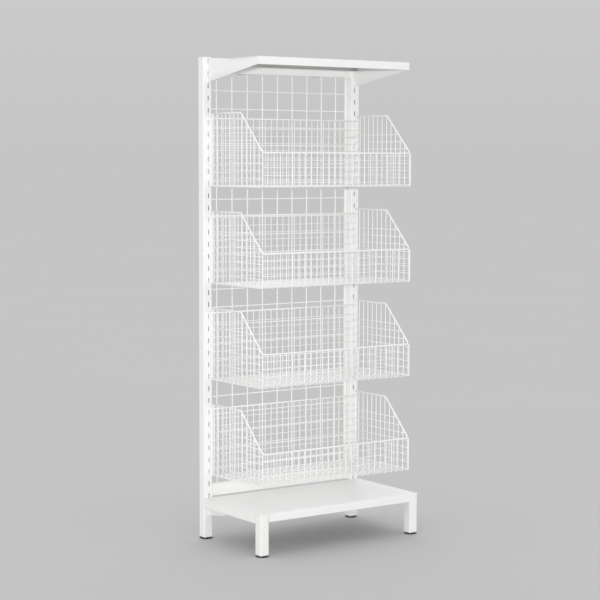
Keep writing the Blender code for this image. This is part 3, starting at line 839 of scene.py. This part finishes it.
wire_mesh, rim_rods = basket_shapes()
for number, floor in enumerate(BASKET_FLOORS, start=1):
    body = f"basket_{number}"

    def moved(soup):
        out = Soup()
        out.verts = [(x, y + POST_Y, z + floor) for x, y, z in soup.verts]
        out.faces = soup.faces
        return out

    piece(f"{body}_wires", moved(wire_mesh), body, "wire_paint", [f"{body}_body_mat", f"{body}_left_mat", f"{body}_right_mat"], smooth=60)
    piece(f"{body}_rods", moved(rim_rods), body, "wire_paint", [f"{body}_rim"], smooth=60)
    for side, sign in SIDES:
        lo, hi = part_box(f"{body}_{side}_hook")
        slots = [floor + 0.012, floor + 0.262]
        rear = POST_Y - POST / 2 - 0.0005
        outline = [
            (lo.y, lo.z + 0.0065), (rear, lo.z + 0.0065),
            *[(POST_Y + y, z) for y, z in hook_edge(slots)],
            (rear, hi.z), (lo.y, hi.z),
        ]
        outline[0] = (lo.y, floor + 0.001)
        outline[1] = (rear, floor + 0.001)
        radii = [0.005, 0.0] + [0.0] * 12 + [0.004, 0.004]
        for first in (2, 8):
            radii[first + 2] = radii[first + 3] = 0.0015
            radii[first + 4] = 0.002
        mesh = plate_mesh(fillet(outline, radii, 4), lo.x, hi.x, "X", 0.0005)
        piece(f"{body}_{side}_hook_plate", mesh, body, "wire_paint", [f"{body}_{side}_hook"])

# --------------------------------------------------- any node that still shows
slot_of = {part["node"]: part["material_slot"] for part in frame["record"]["subparts"]}
for name, node in frame["nodes"].items():
    if not node.hide_render:
        node.data.materials.clear()
        node.data.materials.append(SLOTS[slot_of[name]])

# ----------------------------------------------------------------- floor, light
floor_mat, tree, shader = nodes_of("studio_floor")
coords = tree.nodes.new("ShaderNodeTexCoord").outputs["Object"]
clouds = ramp(tree, noise(tree, coords, 0.6, 3.0), 0.3, 0.7, 0.0, 1.0)
tree.links.new(blend_colour(tree, clouds, (0.635, 0.635, 0.636), (0.642, 0.642, 0.643)), shader.inputs["Base Color"])
shader.inputs["Roughness"].default_value = 0.9
shader.inputs["Specular IOR Level"].default_value = 0.0
mesh = bpy.data.meshes.new("studio_floor")
bm = bmesh.new()
bmesh.ops.create_circle(bm, cap_ends=True, segments=128, radius=1500.0)
bm.to_mesh(mesh)
bm.free()
mesh.materials.append(floor_mat)
ground = bpy.data.objects.new("studio_floor", mesh)
ground.location = (0, 0, -0.0002)
scene.collection.objects.link(ground)

# Soft light from all round, dimmer at the horizon and brighter overhead.
HORIZON, OVERHEAD = 0.555, 0.95
world = bpy.data.worlds.new("studio")
scene.world = world
world.use_nodes = True
tree = world.node_tree
back = tree.nodes["Background"]
direction = tree.nodes.new("ShaderNodeTexCoord").outputs["Generated"]
split = tree.nodes.new("ShaderNodeSeparateXYZ")
tree.links.new(direction, split.inputs["Vector"])
rise = ramp(tree, split.outputs["Z"], 0.0, 1.0, 0.0, 1.0)
tree.links.new(blend_colour(tree, rise, (HORIZON,) * 3, (OVERHEAD,) * 3), back.inputs["Color"])
back.inputs["Strength"].default_value = 1.0


def aimed(name, data, place, target):
    lamp = bpy.data.objects.new(name, data)
    lamp.location = place
    lamp.rotation_euler = (Vector(target) - place).to_track_quat("-Z", "Y").to_euler()
    scene.collection.objects.link(lamp)
    return lamp


def heading(azimuth, elevation=0.0):
    """Direction seen from the stand. Azimuth 0 is in front of it, positive to its right."""
    az, el = math.radians(azimuth), math.radians(elevation)
    return Vector((math.sin(az) * math.cos(el), -math.cos(az) * math.cos(el), math.sin(el)))


def strip_light(name, azimuth, distance, height, aim, power, size):
    """A wide, low soft box."""
    data = bpy.data.lights.new(name, "AREA")
    data.shape = "RECTANGLE"
    data.size, data.size_y = size
    data.energy = power
    place = heading(azimuth) * distance + Vector((0, 0, height))
    lamp = aimed(name, data, place, aim)
    lamp.visible_camera = False
    return lamp


def even_light(name, azimuth, elevation, strength, softness):
    """Soft light of one direction and even strength."""
    data = bpy.data.lights.new(name, "SUN")
    data.energy, data.angle = strength, math.radians(softness)
    return aimed(name, data, heading(azimuth, elevation), (0, 0, 0))


key = strip_light("key_light", -36, 9.0, 1.785, (0, 0, 0.9), 370, (1.2, 0.12))
fill = even_light("left_light", -68, 5, 0.50, 36)
back_fill = even_light("back_light", 165, 3, 0.65, 30)
right_fill = even_light("right_light", 98, 4, 0.45, 30)
back_fill.visible_glossy = right_fill.visible_glossy = False
# These stand low, so the floor next to them would burn out: they light the stand only.
unlit = bpy.data.collections.new("not_lit_by_low_lights")
unlit.objects.link(ground)
unlit.collection_objects[0].light_linking.link_state = "EXCLUDE"
for lamp in (key, fill, back_fill, right_fill):
    lamp.light_linking.receiver_collection = unlit
even_light("rear_light", 148, 35, 0.30, 60)

# --------------------------------------------------------------------- camera
YAW, PITCH, ROLL = math.radians(35.306), math.radians(-4.617), math.radians(0.108)
FOCAL_PX = 1716.84
ahead = Vector((math.sin(YAW) * math.cos(PITCH), math.cos(YAW) * math.cos(PITCH), math.sin(PITCH)))
right = Vector((math.cos(YAW), -math.sin(YAW), 0.0))
up = right.cross(ahead)
right, up = (
    math.cos(ROLL) * right + math.sin(ROLL) * up,
    math.cos(ROLL) * up - math.sin(ROLL) * right,
)
data = bpy.data.cameras.new("photo_camera")
data.sensor_width = 36.0
data.lens = FOCAL_PX * 36.0 / 600.0
data.clip_end = 4000.0
camera = bpy.data.objects.new("photo_camera", data)
camera.matrix_world = Matrix.Translation((-4.1613, -5.8122, 1.5741)) @ Matrix(
    (right, up, -ahead)
).transposed().to_4x4()
scene.collection.objects.link(camera)
scene.camera = camera

scene.view_settings.view_transform = "Standard"
scene.view_settings.look = "None"
